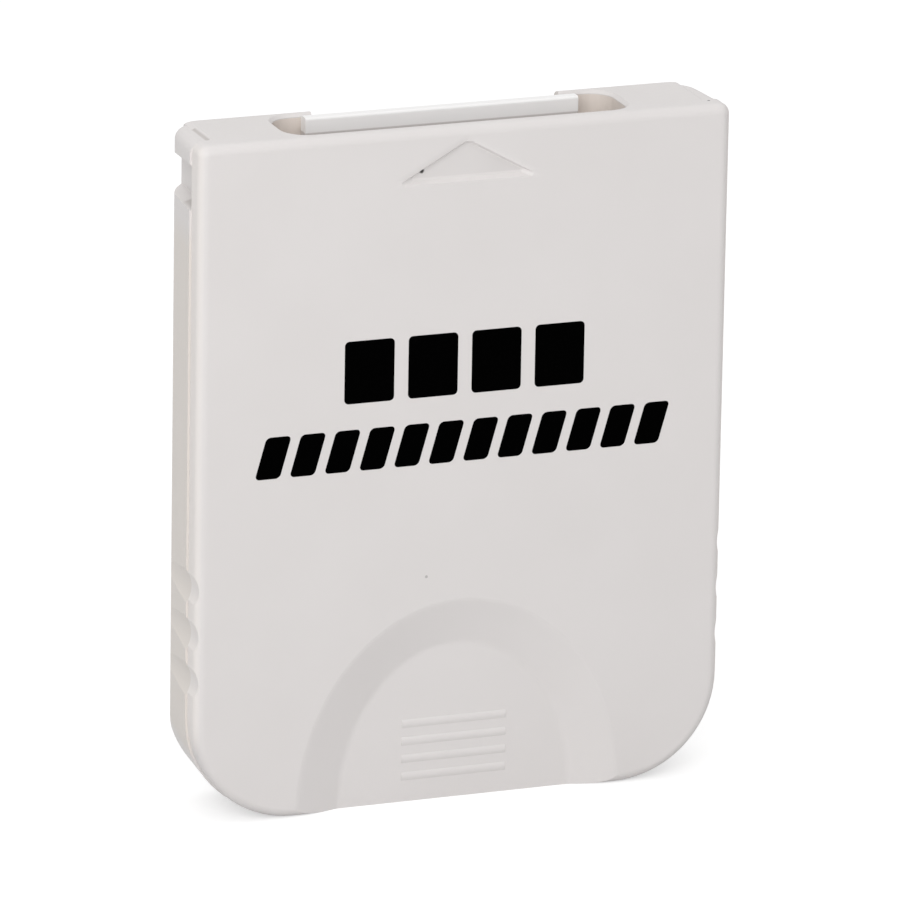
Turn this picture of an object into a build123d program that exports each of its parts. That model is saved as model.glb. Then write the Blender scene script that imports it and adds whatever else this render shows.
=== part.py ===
from build123d import *
import os

# Memory card for a game console: a slim white plastic case in two halves, closed by one
# screw, around a small circuit board with a contact tongue that stands in the top slot.
# Millimetres. X runs to the right, the front faces -Y, Z is up, and the origin lies under
# the middle of the card, which stands on its flat lower edge.

os.makedirs("parts", exist_ok=True)

# Case
card_width = 42.0
card_height = 52.3
card_depth = 8.0
front_shell_depth = 1.85
front_shell_inset = 0.16
side_draft = 0.5
bottom_corner_radius = 8.0
top_edge_radius = 0.8
front_edge_radius = 0.75
rear_edge_radius = 2.2
lower_rear_radius = 0.9
side_wall = 1.3
bottom_wall = 1.3
roof = 1.3
front_wall = 1.4
rear_wall = 1.1

# Thumb scoop in the front, open at the lower edge, with grip ribs on its floor
scoop_half_width = 13.0
scoop_height = 16.0
scoop_depth = 1.05
scoop_slope_run = 4.05
scoop_rim_run = 0.45
scoop_foot_run = 0.5
scoop_round_steps = 3
rib_count = 4
rib_length = 8.3
rib_width = 0.65
rib_height = 0.08
rib_pitch = 1.38
lowest_rib_height = 1.98

# Arrow recess under the top edge
arrow_width = 9.6
arrow_height = 2.7
arrow_below_top = 1.23
arrow_depth = 0.35
arrow_wall_run = 0.22
arrow_ramp_run = 0.28
arrow_tip_radius = 0.8
arrow_corner_radius = 0.18

# Finger scallops on both sides
scallop_count = 3
scallop_pitch = 3.6
lowest_scallop_height = 11.15
scallop_radius = 2.2
scallop_depth = 0.27

# Latch notches on both sides of the rear shell
notch_depth = 1.4
notch_below_top = 1.7
notch_height = 3.5
notch_upper_ramp = 1.05
notch_lower_ramp = 0.4

# Side columns of the rear shell, whose tops lie a sloping step lower than the middle
column_width = 1.5
column_step = 0.2
column_slope_run = 0.35

# Connector slot in the top edge, and the contact window behind it
slot_width = 26.8
slot_depth = 7.0
slot_lip = 1.25
slot_wall = 1.2
slot_corner_radius = 1.8
slot_lead = 0.25
window_margin = 0.45
window_corner_radius = 0.6

# Contact tongue and its contacts
contact_count = 12
contact_pitch = 1.6
contact_width = 1.0
contact_thickness = 0.2
contact_below_tip = 1.0
contact_tip_bevel = 0.3
contact_tail_width = 0.6
contact_tail_length = 2.2
contact_groove_depth = 0.1
tongue_margin = 1.45
tongue_thickness = 1.0
tongue_edge_radius = 0.2
flange_thickness = 1.0
foot_width = 24.0
foot_height = 3.0
foot_thickness = 1.1

# Circuit board and the posts that hold it
board_thickness = 1.2
board_side_gap = 2.0
board_bottom_gap = 2.9
board_corner_radius = 5.0
board_standoff = 0.5
post_inset = 2.6
upper_post_below_board_top = 6.2
lower_post_above_board_bottom = 5.8
post_diameter = 3.0
pin_diameter = 1.5
pin_reach = 0.25
socket_diameter = 3.4

# Chips, with a row of leads along the left and right side of each
flash_width = 18.4
flash_height = 8.0
flash_lead_count = 16
flash_lead_pitch = 0.5
flash_below_board_top = 9.0
controller_width = 5.3
controller_height = 10.2
controller_lead_count = 14
controller_lead_pitch = 0.65
controller_above_board_bottom = 8.3
controller_offset = 6.0
chip_thickness = 1.0
chip_standoff = 0.1
lead_reach = 0.8
lead_thickness = 0.15
lead_width = 0.22

# Chip capacitors and resistors, in two rows beside the controller
passive_count = 4
passive_length = 1.6
passive_width = 0.8
passive_pitch = 2.4
passive_terminal = 0.3
capacitor_thickness = 0.8
resistor_thickness = 0.45
passive_row_gap = 4.0

# Case screw
screw_diameter = 1.6
screw_head_diameter = 3.4
screw_head_height = 1.3
screw_head_bevel = 0.4
screw_reach = 2.1
screw_drive_width = 0.5
screw_drive_length = 2.2
screw_drive_depth = 0.7
screw_seat = 1.2
boss_diameter = 5.0
boss_forward = 0.6

# Room between pieces
fit_gap = 0.1
head_gap = 0.25
overcut = 1.0

# Planes and heights that the pieces share
half_width = card_width / 2
front_half = half_width - front_shell_inset
y_front = -card_depth / 2
y_rear = card_depth / 2
y_part = y_front + front_shell_depth
y_front_inside = y_front + front_wall
y_rear_inside = y_rear - rear_wall
cavity_half = half_width - side_draft - side_wall
slot_half = slot_width / 2
slot_floor = card_height - slot_depth
y_slot_front = y_front + slot_lip
flange_bottom = slot_floor - flange_thickness

board_half = cavity_half - board_side_gap
board_bottom = bottom_wall + board_bottom_gap
board_top = flange_bottom - fit_gap
y_board_rear = y_rear_inside - board_standoff
y_board_front = y_board_rear - board_thickness

contact_span = (contact_count - 1) * contact_pitch + contact_width
y_tongue_rear = y_board_rear + contact_groove_depth
y_tongue_front = y_tongue_rear - tongue_thickness

flash_z = board_top - flash_below_board_top
controller_z = board_bottom + controller_above_board_bottom
screw_z = (flash_z - flash_height / 2 + controller_z + controller_height / 2) / 2
y_boss = y_board_front - boss_forward
y_screw_seat = y_boss + screw_seat
post_x = board_half - post_inset
post_heights = (board_bottom + lower_post_above_board_bottom, board_top - upper_post_below_board_top)
post_places = [(side * post_x, z) for side in (-1, 1) for z in post_heights]


def face_plane(y):
    """Plane parallel to the front face at depth y, drawn with x to the right and z up."""
    return Plane(origin=(0, y, 0), x_dir=(1, 0, 0), z_dir=(0, -1, 0))


def slab(profile, y_near, y_far):
    """Extrude a front-view profile from the depth y_near back to y_far."""
    return extrude(face_plane(y_far) * profile, y_far - y_near)


def block(x_low, x_high, y_low, y_high, z_low, z_high):
    """Rectangular block between two corners."""
    size = (x_high - x_low, y_high - y_low, z_high - z_low)
    return Pos(x_low, y_low, z_low) * Box(*size, align=Align.MIN)


def peg(x, z, diameter, y_near, y_far):
    """Round peg along Y."""
    return slab(Pos(x, z) * Circle(diameter / 2), y_near, y_far)


def front_block():
    """Outside of the front half, from the parting plane forward, a little narrower than the rear half."""
    outline = Rectangle(2 * front_half, card_height, align=(Align.CENTER, Align.MIN))
    outline = fillet(outline.vertices().group_by(Axis.Y)[0], bottom_corner_radius)
    body = slab(outline, y_front, y_part)
    body = fillet(body.edges().filter_by(Axis.Y).group_by(Axis.Z)[-1], top_edge_radius)
    return fillet(body.faces().sort_by(Axis.Y)[0].edges(), front_edge_radius)


def rear_block(height):
    """Rear half up to a height: the sides lean in towards the back, and the back is well rounded."""
    rear_half = half_width - side_draft
    corners = [(-half_width, y_part), (half_width, y_part), (rear_half, y_rear), (-rear_half, y_rear)]
    plan = make_face(Polyline(*corners, close=True))
    leaning = extrude(plan, height)
    lower = leaning.faces().sort_by(Axis.Z)[0].edges().sort_by(Axis.X)
    leaning = fillet([lower[0], lower[-1]], bottom_corner_radius)
    back = leaning.faces().sort_by(Axis.Y)[-1].edges().sort_by(Axis.Z)
    leaning = fillet(back[:-1], lower_rear_radius)
    body = leaning & extrude(fillet(plan.vertices().group_by(Axis.Y)[-1], rear_edge_radius), height)
    top = body.faces().sort_by(Axis.Z)[-1].edges().sort_by(Axis.Y)
    return fillet(top[1:], top_edge_radius)


def rear_outside():
    """Outside of the rear half, its middle a step higher than the columns at the sides."""
    foot = half_width - column_width
    middle = foot - column_slope_run
    low = card_height - column_step
    half_ridge = [(foot, low / 2), (foot, low), (middle, card_height)]
    other_half = [(-x, z) for x, z in reversed(half_ridge)]
    ridge = make_face(Polyline(*half_ridge, *other_half, close=True))
    raised = rear_block(card_height) & slab(ridge, y_part, y_rear)
    return rear_block(low) + raised


def cavity():
    """Space inside the case, narrower beside the latch notches."""
    shoulder = card_height - notch_below_top - notch_height - side_wall
    lower_height = shoulder - bottom_wall
    chamber = Pos(0, bottom_wall) * Rectangle(2 * cavity_half, lower_height, align=(Align.CENTER, Align.MIN))
    chamber = fillet(chamber.vertices().group_by(Axis.Y)[0], bottom_corner_radius - side_wall)
    upper_half = half_width - notch_depth - side_wall
    upper_height = card_height - roof - shoulder
    chamber += Pos(0, shoulder) * Rectangle(2 * upper_half, upper_height, align=(Align.CENTER, Align.MIN))
    room = slab(chamber, y_front_inside, y_rear_inside)
    return chamfer(room.faces().sort_by(Axis.Y)[-1].edges(), rear_edge_radius - side_wall)


def scoop_level(run):
    """Depth of the scoop's wall at a distance in from its rim: straight between two rounded ends."""
    slope = scoop_depth / (scoop_slope_run - (scoop_rim_run + scoop_foot_run) / 2)
    to_floor = scoop_slope_run - run
    if run < scoop_rim_run:
        return slope * run**2 / (2 * scoop_rim_run)
    if to_floor < scoop_foot_run:
        return scoop_depth - slope * to_floor**2 / (2 * scoop_foot_run)
    return slope * (run - scoop_rim_run / 2)


def scoop_form(grow, floor_y):
    """Bowl of half ellipses that stand on the lower edge, from in front of the card to floor_y."""
    foot_start = scoop_slope_run - scoop_foot_run
    shares = [step / scoop_round_steps for step in range(scoop_round_steps + 1)]
    runs = [share * scoop_rim_run for share in shares[1:]]
    runs += [foot_start + share * scoop_foot_run for share in shares]
    levels = [scoop_level(run) for run in runs]
    rim_slope = (levels[1] - levels[0]) / (runs[1] - runs[0])
    lead = scoop_rim_run
    runs.insert(0, runs[0] - lead)
    levels.insert(0, levels[0] - lead * rim_slope)
    sink = floor_y - (y_front + scoop_depth)
    rings = []
    for run, level in zip(runs, levels):
        outline = Ellipse(scoop_half_width - run + grow, scoop_height - run + grow)
        rings.append(face_plane(y_front + level + sink) * outline)
    return loft(rings, ruled=True)


def slot_form():
    """The connector slot: a rounded pocket down to the board's chamber, its rim bevelled for lead-in."""
    y_middle = (y_slot_front + y_rear_inside) / 2
    y_size = y_rear_inside - y_slot_front
    bottom = flange_bottom - overcut
    mouth = RectangleRounded(slot_width, y_size, slot_corner_radius)
    rim = RectangleRounded(slot_width + 2 * slot_lead, y_size + 2 * slot_lead, slot_corner_radius + slot_lead)
    lead_in = loft([mouth, Pos(0, 0, slot_lead) * rim], ruled=True)
    pocket = Pos(0, y_middle, bottom) * extrude(mouth, card_height - bottom)
    return pocket + Pos(0, y_middle, card_height - slot_lead) * lead_in


def slot_housing():
    """Wall around the slot, before the slot is cut."""
    reach = slot_half + slot_wall
    return block(-reach, reach, y_front, y_rear, flange_bottom, card_height)


def scallops():
    """Finger scallops along both sides."""
    cutters = []
    for side in (-1, 1):
        x = side * (front_half - scallop_depth + scallop_radius)
        for row in range(scallop_count):
            z = lowest_scallop_height + row * scallop_pitch
            cutters.append(peg(x, z, 2 * scallop_radius, y_front - overcut, y_rear + overcut))
    return cutters


def arrow_outline(apex, base):
    """Arrow head between two heights, with its sides at one slope and all corners rounded."""
    half = (apex - base) * arrow_width / (2 * arrow_height)
    outline = make_face(Polyline((-half, base), (half, base), (0, apex), close=True))
    outline = fillet(outline.vertices().sort_by(Axis.Y)[-1], arrow_tip_radius)
    return fillet(outline.vertices().group_by(Axis.Y)[0], arrow_corner_radius)


def arrow_form():
    """Shallow arrow recess, with steep upper walls and a ramp along its base."""
    apex = card_height - arrow_below_top
    base = apex - arrow_height
    mouth = arrow_outline(apex + arrow_wall_run, base - arrow_ramp_run)
    floor = arrow_outline(apex, base)
    return loft([face_plane(y_front) * mouth, face_plane(y_front + arrow_depth) * floor], ruled=True)


def notch_form(side):
    """Latch notch, cut from the parting plane through to the back."""
    top = card_height - notch_below_top
    bottom = top - notch_height
    mouth = side * half_width
    floor = side * (half_width - notch_depth)
    outside = side * (half_width + overcut)
    points = [
        (outside, bottom),
        (mouth, bottom),
        (floor, bottom + notch_lower_ramp),
        (floor, top - notch_upper_ramp),
        (mouth, top),
        (outside, top),
    ]
    return slab(make_face(Polyline(*points, close=True)), y_part, y_rear + overcut)


def scoop_ribs():
    """Grip ribs on the scoop's floor, low and round."""
    floor = y_front + scoop_depth
    root = floor + rib_height
    ribs = []
    for row in range(rib_count):
        z = lowest_rib_height + row * rib_pitch
        low = z - rib_width / 2
        high = z + rib_width / 2
        crown = ThreePointArc((floor, low), (floor - rib_height, z), (floor, high))
        section = make_face(crown + Polyline((floor, high), (root, high), (root, low), (floor, low)))
        ribs.append(Pos(-rib_length / 2, 0, 0) * extrude(Plane.YZ * section, rib_length))
    return ribs


def front_shell():
    """Front half of the case, with board posts and the screw boss inside."""
    outside = front_block()
    shell = outside - cavity()
    shell += outside & slot_housing()
    shell += outside & scoop_form(front_wall, y_part)
    shell -= scoop_form(0, y_front + scoop_depth)
    shell -= slot_form()
    shell -= scallops()
    shell -= arrow_form()
    shell += scoop_ribs()
    for x, z in post_places:
        shell += peg(x, z, post_diameter, y_front_inside, y_board_front)
        shell += peg(x, z, pin_diameter, y_board_front, y_board_rear + pin_reach)
    shell += peg(0, screw_z, boss_diameter, y_front_inside, y_boss)
    shell -= peg(0, screw_z, screw_diameter + fit_gap, y_boss - screw_reach - fit_gap, y_boss)
    return shell


def rear_shell():
    """Rear half of the case, with the contact window, the screw pocket and the post sockets."""
    outside = rear_outside()
    shell = outside - cavity()
    shell += outside & slot_housing()
    shell -= slot_form()
    shell -= scallops()
    shell -= [notch_form(-1), notch_form(1)]
    window_half = contact_span / 2 + window_margin
    window_height = slot_depth + overcut
    window = Pos(0, slot_floor) * Rectangle(2 * window_half, window_height, align=(Align.CENTER, Align.MIN))
    window = fillet(window.vertices().group_by(Axis.Y)[0], window_corner_radius)
    shell -= slab(window, y_rear_inside - slot_corner_radius / 4, y_rear + overcut)
    for x, z in post_places:
        shell += peg(x, z, socket_diameter, y_board_rear, y_rear_inside)
        shell -= peg(x, z, pin_diameter + 2 * fit_gap, y_board_rear, y_rear_inside)
    shell += peg(0, screw_z, boss_diameter, y_boss, y_rear_inside)
    shell -= peg(0, screw_z, screw_head_diameter + 2 * head_gap, y_screw_seat, y_rear + overcut)
    shell -= peg(0, screw_z, screw_diameter + 2 * head_gap, y_boss, y_screw_seat)
    return shell


def contact_place(index):
    """Distance of a contact from the middle of the tongue."""
    return (index - (contact_count - 1) / 2) * contact_pitch


def contact_carrier():
    """Tongue, flange and foot in one moulding, with a groove for each contact."""
    tongue_half = contact_span / 2 + tongue_margin
    tongue = block(-tongue_half, tongue_half, y_tongue_front, y_tongue_rear, flange_bottom, card_height)
    tongue = fillet(tongue.faces().sort_by(Axis.Z)[-1].edges().filter_by(Axis.X), tongue_edge_radius)
    y_edge = y_slot_front + fit_gap
    y_middle = (y_edge + y_tongue_rear) / 2
    width = slot_width - 2 * fit_gap
    flange = Pos(0, y_middle) * RectangleRounded(width, y_tongue_rear - y_edge, slot_corner_radius)
    carrier = tongue + Pos(0, 0, flange_bottom) * extrude(flange, flange_thickness)
    carrier += block(
        -foot_width / 2, foot_width / 2, y_board_front - foot_thickness, y_board_front,
        flange_bottom - foot_height, flange_bottom,
    )
    for index in range(contact_count):
        x = contact_place(index)
        groove_half = contact_width / 2 + fit_gap / 2
        carrier -= block(
            x - groove_half, x + groove_half, y_board_rear, y_tongue_rear + overcut,
            flange_bottom - overcut, card_height - contact_below_tip + fit_gap,
        )
    return carrier


def contact(index):
    """Stamped contact strip: a wide blade on the tongue and a narrow tail soldered to the board."""
    blade_top = card_height - contact_below_tip
    blade_height = blade_top - flange_bottom
    strip = Pos(0, flange_bottom) * Rectangle(contact_width, blade_height, align=(Align.CENTER, Align.MIN))
    strip = chamfer(strip.vertices().group_by(Axis.Y)[-1], contact_tip_bevel)
    tail = Pos(0, flange_bottom) * Rectangle(
        contact_tail_width, contact_tail_length, align=(Align.CENTER, Align.MAX)
    )
    blade = slab(strip + tail, y_board_rear, y_board_rear + contact_thickness)
    return Pos(contact_place(index), 0, 0) * blade


def circuit_board():
    """Board with round lower corners, holes for the four pins and a large hole for the screw boss."""
    height = board_top - board_bottom
    outline = Pos(0, board_bottom) * Rectangle(2 * board_half, height, align=(Align.CENTER, Align.MIN))
    outline = fillet(outline.vertices().group_by(Axis.Y)[0], board_corner_radius)
    outline -= Pos(0, screw_z) * Circle(boss_diameter / 2 + fit_gap)
    for x, z in post_places:
        outline -= Pos(x, z) * Circle(pin_diameter / 2 + fit_gap)
    return slab(outline, y_board_front, y_board_rear)


def chip(x, z, width, height, lead_count, lead_pitch):
    """Flat chip on the front of the board, with gull-wing leads along its left and right side."""
    y_back = y_board_front - chip_standoff
    body = block(-width / 2, width / 2, y_back - chip_thickness, y_back, -height / 2, height / 2)
    y_lead = y_back - chip_thickness / 2
    for side in (-1, 1):
        edge = side * width / 2
        toe = edge + side * lead_reach
        knee = edge + side * lead_reach / 2
        inner_knee = knee - side * lead_thickness
        bend = [
            (edge, y_lead),
            (inner_knee, y_lead),
            (inner_knee, y_board_front),
            (toe, y_board_front),
            (toe, y_board_front - lead_thickness),
            (knee, y_board_front - lead_thickness),
            (knee, y_lead - lead_thickness),
            (edge, y_lead - lead_thickness),
        ]
        lead = extrude(make_face(Polyline(*bend, close=True)), lead_width)
        for row in range(lead_count):
            body += Pos(0, 0, (row - (lead_count - 1) / 2) * lead_pitch - lead_width / 2) * lead
    return Pos(x, 0, z) * body


def passive(index, row_z, thickness):
    """Small ceramic block with a raised metal cap on each end, soldered to the board."""
    x = (index + 0.5) * passive_pitch
    cap_step = passive_terminal / 6
    y_near = y_board_front - thickness
    core_half = passive_length / 2 - passive_terminal
    core_side = passive_width / 2 - cap_step
    body = block(-core_half, core_half, y_near + cap_step, y_board_front - cap_step, -core_side, core_side)
    for side in (-1, 1):
        ends = sorted((side * core_half, side * passive_length / 2))
        body += block(ends[0], ends[1], y_near, y_board_front, -passive_width / 2, passive_width / 2)
    return Pos(x, 0, row_z) * body


def case_screw():
    """Pan-head screw with a cross recess, driven in from the back."""
    y_top = y_screw_seat + screw_head_height
    screw = peg(0, screw_z, screw_head_diameter, y_screw_seat, y_top)
    screw = chamfer(screw.faces().sort_by(Axis.Y)[-1].edges(), screw_head_bevel)
    screw += peg(0, screw_z, screw_diameter, y_boss - screw_reach, y_screw_seat)
    arm = screw_drive_length / 2
    half = screw_drive_width / 2
    for across, along in ((arm, half), (half, arm)):
        screw -= block(
            -across, across, y_top - screw_drive_depth, y_top + overcut, screw_z - along, screw_z + along
        )
    return screw


pieces = {
    "front_shell": front_shell(),
    "rear_shell": rear_shell(),
    "contact_carrier": contact_carrier(),
    "circuit_board": circuit_board(),
    "flash_memory": chip(0, flash_z, flash_width, flash_height, flash_lead_count, flash_lead_pitch),
    "controller_chip": chip(
        -controller_offset, controller_z, controller_width, controller_height, controller_lead_count,
        controller_lead_pitch,
    ),
    "case_screw": case_screw(),
}
for number in range(contact_count):
    pieces[f"contact_{number + 1:02d}"] = contact(number)
for number in range(passive_count):
    upper_row = controller_z + passive_row_gap / 2
    lower_row = controller_z - passive_row_gap / 2
    pieces[f"capacitor_{number + 1:02d}"] = passive(number, upper_row, capacitor_thickness)
    pieces[f"resistor_{number + 1:02d}"] = passive(number, lower_row, resistor_thickness)

for name, piece in pieces.items():
    export_step(piece, f"parts/{name}.step")
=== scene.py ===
import math

import bmesh
import bpy
from mathutils import Matrix, Vector


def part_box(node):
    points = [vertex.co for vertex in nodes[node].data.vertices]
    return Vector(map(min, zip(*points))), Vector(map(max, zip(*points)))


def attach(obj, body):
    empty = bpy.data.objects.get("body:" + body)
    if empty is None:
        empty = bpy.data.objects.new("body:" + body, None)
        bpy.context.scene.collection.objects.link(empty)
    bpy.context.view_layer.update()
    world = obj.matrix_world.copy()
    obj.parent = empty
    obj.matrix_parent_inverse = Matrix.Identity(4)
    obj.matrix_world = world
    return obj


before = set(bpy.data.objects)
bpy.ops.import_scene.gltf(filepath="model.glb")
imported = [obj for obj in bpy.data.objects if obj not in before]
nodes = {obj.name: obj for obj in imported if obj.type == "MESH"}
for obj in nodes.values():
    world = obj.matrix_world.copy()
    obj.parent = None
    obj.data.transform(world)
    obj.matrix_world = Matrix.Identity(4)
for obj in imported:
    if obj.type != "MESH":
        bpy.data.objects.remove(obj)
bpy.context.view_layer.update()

# Rear shell: the deeper moulded half of the case, in satin off-white plastic with the fine grain of its die.
# Its tint drifts a little; the sides carry painted shade, darker and warmer, and the walls of the slot carry
# painted warm bounce light.
# Painted shade darkens the step at the top left and the notch below it.
MM = 0.001
rear_low, rear_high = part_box("rear_shell")
rear_colour = (0.732, 0.703, 0.692)
rear_shade = (0.719, 0.690, 0.678)
tint_patch = 9 * MM
tint_range = (0.35, 0.65)
die_grain = 0.18 * MM
die_depth = 0.006 * MM
die_strength = 0.5
fine_detail = 3.0
grain_range = (0.3, 0.7)
satin_roughness = (0.42, 0.54)
satin_specular = 0.35
sharp_edge = 0.01 * MM
# Painted shade: the sides below the top are darker and warmer, as faces turned from the light are.
side_shade_colour = (0.718, 0.674, 0.634)
side_from = rear_high.x - 0.8 * MM
side_fade = 0.35 * MM
side_top = rear_high.z - 6.3 * MM
side_top_fade = 2 * MM
# Painted light: the walls of the slot are warmer, standing for light bounced and scattered inside the slot.
slot_bounce_colour = (0.775, 0.705, 0.65)
slot_centre = (0, -0.2 * MM, rear_high.z - 3.8 * MM)
slot_half = (13.45 * MM, 3.1 * MM, 3.5 * MM)
# Painted shade: the step at the top left and the notch below it are darkened where shade falls in them.
crease_shade_colour = (0.55, 0.52, 0.50)
step_shade = {
    "centre": (rear_low.x + 1.58 * MM, 0, rear_high.z - 0.1 * MM),
    "half": (0.05 * MM, 1.6 * MM, 0.4 * MM),
    "fade": 0.14 * MM,
}
notch_shade = {
    "centre": (rear_low.x + 0.9 * MM, -1.0 * MM, rear_high.z - 5.0 * MM),
    "half": (0.4 * MM, 0.8 * MM, 0.15 * MM),
    "fade": 0.35 * MM,
}


def add_node(material, kind, **settings):
    """Add a shader node; inputs are given by name after in_, and other settings are attributes."""
    node = material.node_tree.nodes.new(kind)
    for key, value in settings.items():
        if key.startswith("in_"):
            node.inputs[key.removeprefix("in_").replace("_", " ")].default_value = value
        else:
            setattr(node, key, value)
    return node


def join(material, output, target):
    """Link two sockets of a material."""
    material.node_tree.links.new(output, target)


def start_material(name):
    """New node material with its shader and an Object coordinate."""
    material = bpy.data.materials.new(name)
    material.use_nodes = True
    shader = material.node_tree.nodes["Principled BSDF"]
    place = add_node(material, "ShaderNodeTexCoord").outputs["Object"]
    return material, shader, place


def grain(material, place, size, detail=2.0):
    """Noise whose features are about the given size in metres."""
    noise = add_node(material, "ShaderNodeTexNoise", in_Scale=1 / size, in_Detail=detail)
    join(material, place, noise.inputs["Vector"])
    return noise.outputs["Fac"]


def spread(material, value, low, high, to_low=0.0, to_high=1.0):
    """Map a value from one range to another, held at the ends."""
    node = add_node(
        material, "ShaderNodeMapRange", clamp=True,
        in_From_Min=low, in_From_Max=high, in_To_Min=to_low, in_To_Max=to_high,
    )
    join(material, value, node.inputs["Value"])
    return node.outputs["Result"]


def blend_colours(material, share, first, second):
    """Mix two colours, each a tuple or a socket, by a share from 0 to 1."""
    node = add_node(material, "ShaderNodeMix", data_type="RGBA")
    sockets = {socket.identifier: socket for socket in (*node.inputs, *node.outputs)}
    join(material, share, sockets["Factor_Float"])
    for target, colour in ((sockets["A_Color"], first), (sockets["B_Color"], second)):
        if isinstance(colour, tuple):
            target.default_value = (*colour, 1)
        else:
            join(material, colour, target)
    return sockets["Result_Color"]


def bump(material, shader, height, distance, strength):
    """Raise the surface by a height pattern, by a distance in metres."""
    node = add_node(material, "ShaderNodeBump", in_Strength=strength, in_Distance=distance)
    join(material, height, node.inputs["Height"])
    join(material, node.outputs["Normal"], shader.inputs["Normal"])


def case_plastic(name, colour, shade):
    """Satin plastic of the case with its die grain, and the drifting tint that marks are laid over."""
    material, shader, place = start_material(name)
    drift = spread(material, grain(material, place, tint_patch), *tint_range)
    tint = blend_colours(material, drift, colour, shade)
    fine = grain(material, place, die_grain, fine_detail)
    join(material, spread(material, fine, *grain_range, *satin_roughness), shader.inputs["Roughness"])
    shader.inputs["Specular IOR Level"].default_value = satin_specular
    bump(material, shader, fine, die_depth, die_strength)
    return material, shader, place, tint


def coordinate(material, place, axis):
    """One coordinate of a place."""
    parts = add_node(material, "ShaderNodeSeparateXYZ")
    join(material, place, parts.inputs["Vector"])
    return parts.outputs[axis]


def within(material, place, axis, centre, half, fade=sharp_edge):
    """Share that is 1 nearer than half to the centre along an axis, and falls to 0 over the fade."""
    gap = add_node(material, "ShaderNodeMath", operation="SUBTRACT")
    gap.inputs[1].default_value = centre
    join(material, coordinate(material, place, axis), gap.inputs[0])
    size = add_node(material, "ShaderNodeMath", operation="ABSOLUTE")
    join(material, gap.outputs["Value"], size.inputs[0])
    return spread(material, size.outputs["Value"], half, half + fade, 1.0, 0.0)


def times(material, *shares):
    """Product of shares."""
    total = shares[0]
    for share in shares[1:]:
        node = add_node(material, "ShaderNodeMath", operation="MULTIPLY")
        join(material, total, node.inputs[0])
        join(material, share, node.inputs[1])
        total = node.outputs["Value"]
    return total


def inside_box(material, place, centre, half, fade=sharp_edge):
    """Share that is 1 in a box about the centre, and falls to 0 over the fade."""
    return times(material, *(within(material, place, *side, fade) for side in zip("XYZ", centre, half)))


def finish_node(node, material):
    """Give a node of the frame its finished material."""
    nodes[node].data.materials.clear()
    nodes[node].data.materials.append(material)


rear, shader, place, tint = case_plastic("rear_shell_plastic", rear_colour, rear_shade)
# Painted shade on the sides, which fades out near the top.
near_top = spread(rear, coordinate(rear, place, "Z"), side_top - side_top_fade, side_top)
in_middle = within(rear, place, "X", 0, side_from, side_fade)
shaded_sides = blend_colours(rear, in_middle, side_shade_colour, tint)
tint = blend_colours(rear, near_top, shaded_sides, tint)
# Painted warm bounce light on the walls of the slot.
tint = blend_colours(rear, inside_box(rear, place, slot_centre, slot_half), tint, slot_bounce_colour)
# Painted shade in the step and in the notch.
for shaded_box in (step_shade, notch_shade):
    tint = blend_colours(rear, inside_box(rear, place, **shaded_box), tint, crease_shade_colour)
join(rear, tint, shader.inputs["Base Color"])
finish_node("rear_shell", rear)

# Circuit board: glass-fibre sheet under green solder mask, with copper tracks that show as raised lines.
# It hangs on the four pins of the front shell, with the contact carrier along its upper edge.
mask_green = (0.012, 0.115, 0.045)
mask_roughness = 0.3
track_green = (0.03, 0.20, 0.075)
track_pattern = 1.1 * MM
track_width = 0.12
track_stagger = 0.37
track_height = 0.02 * MM
track_strength = 0.6
board, shader, place = start_material("solder_mask")
turn = add_node(board, "ShaderNodeMapping", in_Rotation=(math.radians(90), 0, 0))
join(board, place, turn.inputs["Vector"])
tracks = add_node(
    board, "ShaderNodeTexBrick",
    in_Scale=1 / track_pattern, in_Mortar_Size=track_width, offset=track_stagger,
)
join(board, turn.outputs["Vector"], tracks.inputs["Vector"])
on_track = tracks.outputs["Fac"]
join(board, blend_colours(board, on_track, mask_green, track_green), shader.inputs["Base Color"])
bump(board, shader, on_track, track_height, track_strength)
shader.inputs["Roughness"].default_value = mask_roughness
finish_node("circuit_board", board)

# Memory chip and controller: black moulded bodies with tinned leads along two sides.
# They are soldered to the front of the board.
epoxy_black = (0.016, 0.016, 0.018)
epoxy_grey = (0.030, 0.030, 0.033)
epoxy_grain = 0.12 * MM
epoxy_depth = 0.008 * MM
epoxy_strength = 0.5
epoxy_roughness = 0.62
tin = (0.62, 0.61, 0.58)
tin_roughness = 0.28
lead_reach = 0.8 * MM


def tinned_ends(material, place, node, length):
    """Share that is 1 on a node's two tinned ends along X, each of the given length."""
    low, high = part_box(node)
    on_body = within(material, place, "X", (low.x + high.x) / 2, (high.x - low.x) / 2 - length)
    return spread(material, on_body, 0, 1, 1.0, 0.0)


for node in ("flash_memory", "controller_chip"):
    chip, shader, place = start_material(node + "_body_and_leads")
    leads = tinned_ends(chip, place, node, lead_reach)
    mould = grain(chip, place, epoxy_grain, fine_detail)
    body = blend_colours(chip, mould, epoxy_black, epoxy_grey)
    join(chip, blend_colours(chip, leads, body, tin), shader.inputs["Base Color"])
    join(chip, leads, shader.inputs["Metallic"])
    join(chip, spread(chip, leads, 0, 1, epoxy_roughness, tin_roughness), shader.inputs["Roughness"])
    bump(chip, shader, mould, epoxy_depth, epoxy_strength)
    finish_node(node, chip)

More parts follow.
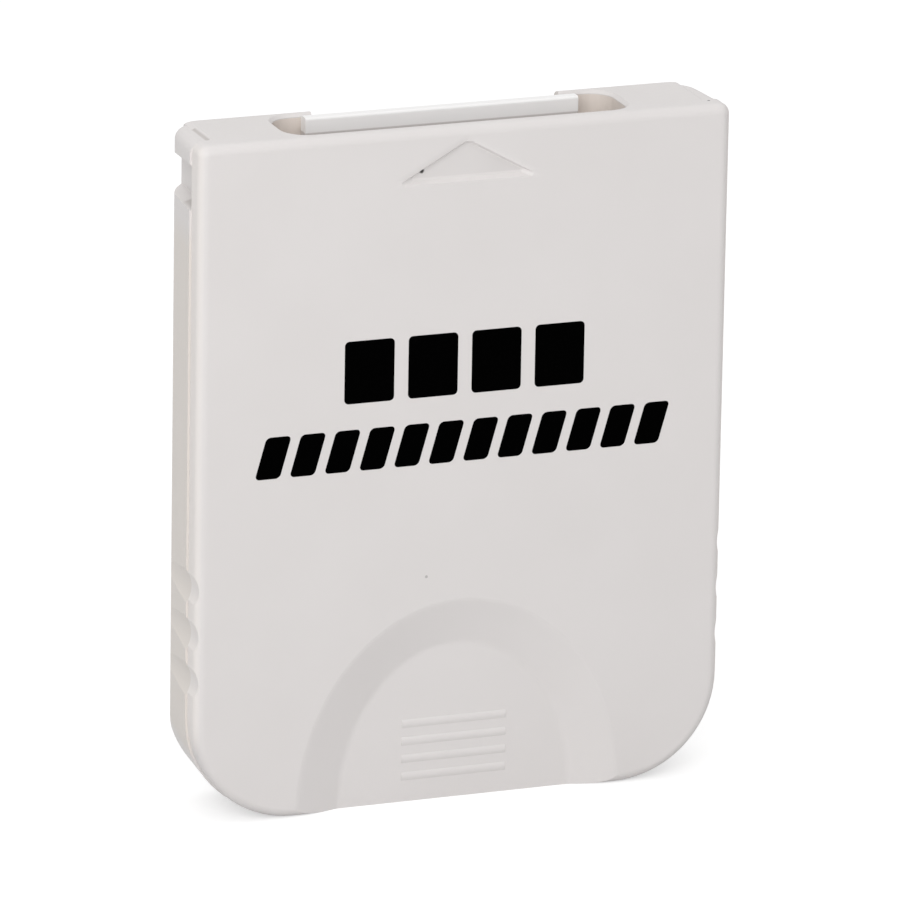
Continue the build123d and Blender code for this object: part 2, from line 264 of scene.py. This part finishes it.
# Chip capacitors and resistors: small ceramic blocks with tinned end caps, four of each.
# They are soldered to the board in two rows beside the controller.
ceramics = {
    "capacitor": ((0.46, 0.31, 0.18), (0.38, 0.25, 0.14)),
    "resistor": ((0.03, 0.03, 0.035), (0.06, 0.06, 0.065)),
}
ceramic_grain = 0.15 * MM
ceramic_roughness = 0.38
end_cap = 0.3 * MM
for node in sorted(nodes):
    kind = node.rsplit("_", 1)[0]
    if kind not in ceramics:
        continue
    ceramic, shader, place = start_material(node + "_ceramic")
    caps = tinned_ends(ceramic, place, node, end_cap)
    body = blend_colours(ceramic, grain(ceramic, place, ceramic_grain), *ceramics[kind])
    join(ceramic, blend_colours(ceramic, caps, body, tin), shader.inputs["Base Color"])
    join(ceramic, caps, shader.inputs["Metallic"])
    shader.inputs["Roughness"].default_value = ceramic_roughness
    finish_node(node, ceramic)

# Contact carrier: one smooth white moulding, with the tongue that stands in the slot.
# Its flange closes the slot's floor and its foot sits on the board.
# The tongue is dull, with painted shade on it below a line deeper in the slot.
carrier_white = (0.91, 0.90, 0.895)
carrier_shade = (0.89, 0.88, 0.875)
carrier_patch = 4 * MM
carrier_grain = 0.3 * MM
carrier_depth = 0.004 * MM
carrier_strength = 0.4
carrier_roughness = 0.34
carrier_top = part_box("contact_carrier")[1].z
# Painted shade: the tongue is darker below a line deeper in the slot, where the lip shades it.
tongue_shade_colour = (0.60, 0.57, 0.555)
deep_from = carrier_top - 1.15 * MM
deep_fade = 0.05 * MM
carrier, shader, place = start_material("carrier_plastic")
clean = blend_colours(carrier, grain(carrier, place, carrier_patch), carrier_white, carrier_shade)
height = coordinate(carrier, place, "Z")
# Painted shade low on the tongue.
tongue_shade = spread(carrier, height, deep_from - deep_fade, deep_from + deep_fade, 1.0, 0.0)
join(carrier, blend_colours(carrier, tongue_shade, clean, tongue_shade_colour), shader.inputs["Base Color"])
shader.inputs["Roughness"].default_value = carrier_roughness
bump(carrier, shader, grain(carrier, place, carrier_grain), carrier_depth, carrier_strength)
finish_node("contact_carrier", carrier)

# Contacts: stamped copper strips, plated with gold, lying in grooves on the back of the tongue.
# The rolled strip keeps fine lines along its length, and the plating is a little uneven.
gold = (0.86, 0.60, 0.20)
worn_gold = (0.78, 0.50, 0.17)
gold_roughness = (0.2, 0.36)
line_width = 0.08 * MM
line_squeeze = (1, 1, 0.04)
line_depth = 0.003 * MM
line_strength = 0.5
contact_gold, shader, place = start_material("contact_gold")
squeeze = add_node(contact_gold, "ShaderNodeMapping", in_Scale=line_squeeze)
join(contact_gold, place, squeeze.inputs["Vector"])
lines = grain(contact_gold, squeeze.outputs["Vector"], line_width, fine_detail)
join(contact_gold, blend_colours(contact_gold, lines, gold, worn_gold), shader.inputs["Base Color"])
shader.inputs["Metallic"].default_value = 1.0
join(contact_gold, spread(contact_gold, lines, *grain_range, *gold_roughness), shader.inputs["Roughness"])
bump(contact_gold, shader, lines, line_depth, line_strength)
for node in nodes:
    if node.startswith("contact_") and node != "contact_carrier":
        finish_node(node, contact_gold)

# Case screw: nickel-plated steel, driven in from the back with its head below the surface.
# Turning marks run round the head.
nickel = (0.56, 0.55, 0.53)
dull_nickel = (0.40, 0.39, 0.38)
nickel_roughness = (0.26, 0.4)
ring_pattern = 0.9 * MM
ring_wobble = 0.3
screw_low, screw_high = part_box("case_screw")
screw_height = (screw_low.z + screw_high.z) / 2
screw, shader, place = start_material("screw_nickel")
centred = add_node(screw, "ShaderNodeMapping", in_Location=(0, 0, -screw_height))
join(screw, place, centred.inputs["Vector"])
rings = add_node(
    screw, "ShaderNodeTexWave", wave_type="RINGS", rings_direction="Y",
    in_Scale=1 / ring_pattern, in_Distortion=ring_wobble,
)
join(screw, centred.outputs["Vector"], rings.inputs["Vector"])
on_ring = rings.outputs["Fac"]
join(screw, blend_colours(screw, on_ring, nickel, dull_nickel), shader.inputs["Base Color"])
shader.inputs["Metallic"].default_value = 1.0
join(screw, spread(screw, on_ring, 0, 1, *nickel_roughness), shader.inputs["Roughness"])
finish_node("case_screw", screw)

# Front shell: the shallow moulded half with the arrow recess, the thumb scoop and its ribs.
# A black speck sits at the arrow, a faint one above the scoop and a small one on the top edge.
# The arrow carries dust with painted shade, painted highlights lie on its walls, its base and its right rim,
# and the card's side edges carry painted light.
front_low, front_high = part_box("front_shell")
front_colour = (0.735, 0.706, 0.697)
front_shade = (0.722, 0.693, 0.683)
# Painted light: the side edges of the front shell are lighter, brightening the edge fillets and the narrow
# side faces.
edge_highlight_colour = (0.80, 0.762, 0.738)
edge_from = 20.4 * MM
edge_fade = 0.3 * MM
arrow_apex = front_high.z - 1.01 * MM
arrow_base = front_high.z - 4.1 * MM
arrow_slant = Vector((2.7, 0, 4.8)).normalized()
arrow_wall = 0.19 * MM
arrow_ramp = 0.3 * MM
arrow_middle = 0.5 * MM
ramp_top = arrow_base + arrow_ramp
ramp_fade = 0.1 * MM
ramp_reach = 0.3 * MM
rim_reach = 0.45 * MM
rim_fade = 0.03 * MM
wall_fade = 0.02 * MM
foot_fade = 0.05 * MM
foot_reach = 0.55 * MM
# Dust and painted shade: the left rim, the foot and the floor of the arrow are darker where shade falls in
# the recess.
dust_and_shade_colour = (0.60, 0.575, 0.565)
rim_dust_and_shade = 0.5
foot_dust_and_shade = 0.3
floor_dust_and_shade = (0.2, 0.42)
floor_dust_and_shade_run = (0.5 * MM, 2.5 * MM)
# Painted highlights: the arrow's walls, its base ramp and its right rim are lighter, standing for light on
# them.
painted_highlight_colour = (0.83, 0.80, 0.79)
rim_highlight = 0.3
wall_highlight = 0.4
ramp_highlight = 0.2
speck_colour = (0.025, 0.022, 0.02)
speck_grain = 0.15 * MM
speck_ragged = 0.4
speck_edge = (0.9, 1.3)
on_face = (1, 0, 1)
on_top = (1, 1, 0)
specks = [
    {"spot": (-3.53 * MM, 0, 49.08 * MM), "plane": on_face, "radius": 0.21 * MM, "strength": 0.97},
    {"spot": (-2.76 * MM, 0, 17.87 * MM), "plane": on_face, "radius": 0.12 * MM, "strength": 0.35},
    {"spot": (19.54 * MM, -2.56 * MM, 0), "plane": on_top, "radius": 0.12 * MM, "strength": 0.8},
]


def band(material, value, start, full, fall, end):
    """Share that rises from start to full, holds, and falls from fall to end."""
    return times(
        material, spread(material, value, start, full), spread(material, value, fall, end, 1.0, 0.0)
    )


front, shader, place, tint = case_plastic("front_shell_plastic", front_colour, front_shade)
# Painted highlight on the card's side edges.
in_middle = within(front, place, "X", 0, edge_from, edge_fade)
tint = blend_colours(front, in_middle, edge_highlight_colour, tint)

mirrored = add_node(front, "ShaderNodeVectorMath", operation="ABSOLUTE")
join(front, place, mirrored.inputs[0])
along = add_node(front, "ShaderNodeVectorMath", operation="DOT_PRODUCT")
along.inputs[1].default_value = arrow_slant
join(front, mirrored.outputs["Vector"], along.inputs[0])
inward = add_node(front, "ShaderNodeMath", operation="SUBTRACT")
inward.inputs[0].default_value = arrow_slant.z * arrow_apex
join(front, along.outputs["Value"], inward.inputs[1])
depth = inward.outputs["Value"]
across = coordinate(front, place, "X")
rise = coordinate(front, place, "Z")

above_ramp = spread(front, rise, ramp_top, ramp_top + ramp_fade)
rim = band(front, depth, -rim_reach, 0, 0, rim_fade)
wall = band(front, depth, -wall_fade, wall_fade, arrow_wall, arrow_wall + foot_fade)
foot = band(front, depth, arrow_wall, arrow_wall + foot_fade, arrow_wall + foot_fade, foot_reach)
arrow_floor = spread(front, depth, arrow_wall, arrow_wall + foot_fade)
ramp = band(front, rise, arrow_base - ramp_reach, arrow_base, ramp_top, ramp_top + foot_fade)
left_rim_dust_and_shade = spread(front, across, -arrow_middle, arrow_middle, rim_dust_and_shade, 0.0)
# Painted highlight on the arrow's right rim.
right_rim_highlight = spread(front, across, -arrow_middle, arrow_middle, 0.0, rim_highlight)
arrow_floor_dust_and_shade = spread(front, across, *floor_dust_and_shade_run, *floor_dust_and_shade)
# Dust with painted shade darkens the left rim, the foot and the floor of the arrow; painted highlights
# lighten its walls, its right rim and its base.
for colour, shares in (
    (dust_and_shade_colour, (rim, left_rim_dust_and_shade, above_ramp)),
    (dust_and_shade_colour, (spread(front, foot, 0, 1, 0.0, foot_dust_and_shade), above_ramp)),
    (dust_and_shade_colour, (arrow_floor, arrow_floor_dust_and_shade, above_ramp)),
    (painted_highlight_colour, (spread(front, wall, 0, 1, 0.0, wall_highlight), above_ramp)),
    (painted_highlight_colour, (rim, right_rim_highlight, above_ramp)),
    (painted_highlight_colour, (ramp, spread(front, depth, -ramp_fade, ramp_fade, 0.0, ramp_highlight))),
):
    tint = blend_colours(front, times(front, *shares), tint, colour)

rough_edge = grain(front, place, speck_grain)
for speck in specks:
    flat = add_node(front, "ShaderNodeVectorMath", operation="MULTIPLY")
    flat.inputs[1].default_value = speck["plane"]
    join(front, place, flat.inputs[0])
    reach = add_node(front, "ShaderNodeVectorMath", operation="DISTANCE")
    reach.inputs[1].default_value = speck["spot"]
    join(front, flat.outputs["Vector"], reach.inputs[0])
    ragged = add_node(front, "ShaderNodeMath", operation="MULTIPLY_ADD")
    ragged.inputs[1].default_value = speck_ragged * speck["radius"]
    join(front, rough_edge, ragged.inputs[0])
    join(front, reach.outputs["Value"], ragged.inputs[2])
    edge = [share * speck["radius"] for share in speck_edge]
    covered = spread(front, ragged.outputs["Value"], *edge, speck["strength"], 0.0)
    tint = blend_colours(front, covered, tint, speck_colour)
join(front, tint, shader.inputs["Base Color"])
finish_node("front_shell", front)

# Print on the front: a row of plain blocks above a row of slanted bars, in one pass of black ink.
# The ink film is thin, with rounded corners where it drew in as it dried.
ink_black = (0.0003, 0.0003, 0.0003)
ink_grey = (0.0012, 0.0012, 0.0012)
ink_roughness = (0.6, 0.75)
ink_specular = 0.0
ink_mottle = 0.25 * MM
ink_film = 0.012 * MM
ink_sunk = 0.004 * MM
ink_corner = 0.35 * MM
corner_steps = 5
block_count = 4
block_size = (3.9 * MM, 4.8 * MM)
block_pitch = 5.0 * MM
block_middle = 34.2 * MM
block_slant = 0
bar_count = 12
bar_size = (1.95 * MM, 3.2 * MM)
bar_pitch = 2.72 * MM
bar_middle = 28.2 * MM
bar_slant = 0.9 * MM


def add_object(name, data):
    """Object in the scene for a mesh, a lamp or a camera."""
    item = bpy.data.objects.new(name, data)
    bpy.context.scene.collection.objects.link(item)
    return item


def add_piece(name, mesh):
    """Object in the scene made from a finished bmesh."""
    data = bpy.data.meshes.new(name)
    mesh.to_mesh(data)
    mesh.free()
    return add_object(name, data)


def print_row(name, count, size, pitch, middle, slant):
    """Row of like ink shapes on the front face, each with rounded corners."""
    mesh = bmesh.new()
    upright = Matrix.Rotation(math.radians(90), 3, "X")
    y_face = front_low.y - ink_film
    for index in range(count):
        x = (index - (count - 1) / 2) * pitch
        shape = bmesh.ops.create_grid(mesh, x_segments=1, y_segments=1, size=0.5)["verts"]
        bmesh.ops.scale(mesh, vec=(*size, 1), verts=shape)
        for vert in shape:
            vert.co.x += slant * vert.co.y / size[1]
        bmesh.ops.rotate(mesh, cent=(0, 0, 0), matrix=upright, verts=shape)
        bmesh.ops.translate(mesh, vec=(x, y_face, middle), verts=shape)
    bmesh.ops.bevel(
        mesh, geom=list(mesh.verts), offset=ink_corner, affect="VERTICES",
        segments=corner_steps, profile=0.5, material=-1,
    )
    extruded = bmesh.ops.extrude_face_region(mesh, geom=list(mesh.faces))["geom"]
    backs = [item for item in extruded if isinstance(item, bmesh.types.BMVert)]
    bmesh.ops.translate(mesh, vec=(0, ink_film + ink_sunk, 0), verts=backs)
    bmesh.ops.recalc_face_normals(mesh, faces=list(mesh.faces))
    return add_piece(name, mesh)


ink, shader, place = start_material("black_ink")
mottle = grain(ink, place, ink_mottle, fine_detail)
join(ink, blend_colours(ink, mottle, ink_black, ink_grey), shader.inputs["Base Color"])
join(ink, spread(ink, mottle, *grain_range, *ink_roughness), shader.inputs["Roughness"])
shader.inputs["Specular IOR Level"].default_value = ink_specular
print_rows = [
    print_row("print_blocks", block_count, block_size, block_pitch, block_middle, block_slant),
    print_row("print_bars", bar_count, bar_size, bar_pitch, bar_middle, bar_slant),
]
for piece in print_rows:
    piece.data.materials.append(ink)
    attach(piece, "root")

# Stage: a wide pale floor that runs off in all directions, in a white surround.
# The surround lights from overhead and from behind, as a lit backdrop does.
# Seen by the camera and in reflections they come out white, and the floor keeps the card's shadow.
floor_size = 6.0
floor_colour = (0.65, 0.65, 0.65, 1)
floor_lift = 0.5
surround_colour = (1, 1, 1, 1)
surround_seen = 1.0
overhead_light = 1.08
backdrop_light = 0.26


def straight_view(tree):
    """Share that is 1 for rays from the camera and for mirrored or see-through rays."""
    path = tree.nodes.new("ShaderNodeLightPath")
    total = path.outputs["Is Camera Ray"]
    for name in ("Is Glossy Ray", "Is Transmission Ray"):
        step = tree.nodes.new("ShaderNodeMath")
        step.operation = "MAXIMUM"
        tree.links.new(total, step.inputs[0])
        tree.links.new(path.outputs[name], step.inputs[1])
        total = step.outputs["Value"]
    return total


mesh = bmesh.new()
bmesh.ops.create_grid(mesh, x_segments=1, y_segments=1, size=floor_size / 2)
floor = add_piece("floor", mesh)
floor_paint = bpy.data.materials.new("floor_paint")
floor_paint.use_nodes = True
tree = floor_paint.node_tree
tree.nodes.clear()
matt = tree.nodes.new("ShaderNodeBsdfDiffuse")
matt.inputs["Color"].default_value = floor_colour
lift = tree.nodes.new("ShaderNodeMath")
lift.operation = "MULTIPLY"
lift.inputs[1].default_value = floor_lift
tree.links.new(straight_view(tree), lift.inputs[0])
glow = tree.nodes.new("ShaderNodeEmission")
tree.links.new(lift.outputs["Value"], glow.inputs["Strength"])
both = tree.nodes.new("ShaderNodeAddShader")
tree.links.new(matt.outputs["BSDF"], both.inputs[0])
tree.links.new(glow.outputs["Emission"], both.inputs[1])
surface = tree.nodes.new("ShaderNodeOutputMaterial")
tree.links.new(both.outputs["Shader"], surface.inputs["Surface"])
floor.data.materials.append(floor_paint)

world = bpy.data.worlds.new("white_surround")
bpy.context.scene.world = world
world.use_nodes = True
tree = world.node_tree
sky = tree.nodes["Background"]
sky.inputs["Color"].default_value = surround_colour
direction = tree.nodes.new("ShaderNodeTexCoord")
parts = tree.nodes.new("ShaderNodeSeparateXYZ")
tree.links.new(direction.outputs["Generated"], parts.inputs["Vector"])
lit = tree.nodes.new("ShaderNodeMath")
lit.operation = "ADD"
for slot, (axis, strength) in enumerate((("Z", overhead_light), ("Y", backdrop_light))):
    share = tree.nodes.new("ShaderNodeMapRange")
    share.inputs["To Max"].default_value = strength
    tree.links.new(parts.outputs[axis], share.inputs["Value"])
    tree.links.new(share.outputs["Result"], lit.inputs[slot])
level = tree.nodes.new("ShaderNodeMix")
level.inputs["B"].default_value = surround_seen
tree.links.new(straight_view(tree), level.inputs["Factor"])
tree.links.new(lit.outputs["Value"], level.inputs["A"])
tree.links.new(level.outputs["Result"], sky.inputs["Strength"])

# Lamp: one soft panel near the card, to the left of the camera and a little above it.
# Its size keeps the card's own shadow soft, and it falls off towards the lower right.
lamp_aim = Vector((0, 0, 30 * MM))
lamp_direction = Vector((-0.46, -0.80, 0.39)).normalized()
lamp_distance = 0.5
lamp_size = 0.38
lamp_power = 1.45
lamp_data = bpy.data.lights.new("soft_panel", "AREA")
lamp_data.shape = "SQUARE"
lamp_data.size = lamp_size
lamp_data.energy = lamp_power
lamp = add_object("soft_panel", lamp_data)
lamp.location = lamp_aim + lamp_direction * lamp_distance
lamp.rotation_mode = "QUATERNION"
lamp.rotation_quaternion = (-lamp_direction).to_track_quat("-Z", "Y")

# Camera: a long lens to the left of the card and a little above it, tipped by about a degree.
# It looks at the card's middle, and a small lens shift sets where that lies in the square picture.
photo_side = 900
target_pixel = (444.1, 451.5)
pixels_per_metre = 13435
target = Vector((0, 0, 26.16 * MM))
camera_azimuth = math.radians(20.86)
camera_elevation = math.radians(17.056)
camera_roll = math.radians(-0.963)
camera_distance = 730.5 * MM
sensor_width = 36
sight = Vector((
    math.sin(camera_azimuth) * math.cos(camera_elevation),
    math.cos(camera_azimuth) * math.cos(camera_elevation),
    -math.sin(camera_elevation),
))
level_right = Vector((math.cos(camera_azimuth), -math.sin(camera_azimuth), 0))
level_up = level_right.cross(sight)
right = math.cos(camera_roll) * level_right - math.sin(camera_roll) * level_up
up = math.sin(camera_roll) * level_right + math.cos(camera_roll) * level_up
turned = Matrix((right, up, -sight)).transposed().to_4x4()
camera_data = bpy.data.cameras.new("camera")
camera_data.sensor_width = sensor_width
camera_data.lens = pixels_per_metre * camera_distance * sensor_width / photo_side
camera_data.shift_x = (photo_side / 2 - target_pixel[0]) / photo_side
camera_data.shift_y = (target_pixel[1] - photo_side / 2) / photo_side
camera = add_object("camera", camera_data)
camera.matrix_world = Matrix.Translation(target - sight * camera_distance) @ turned
bpy.context.scene.camera = camera
bpy.context.scene.view_settings.view_transform = "Standard"
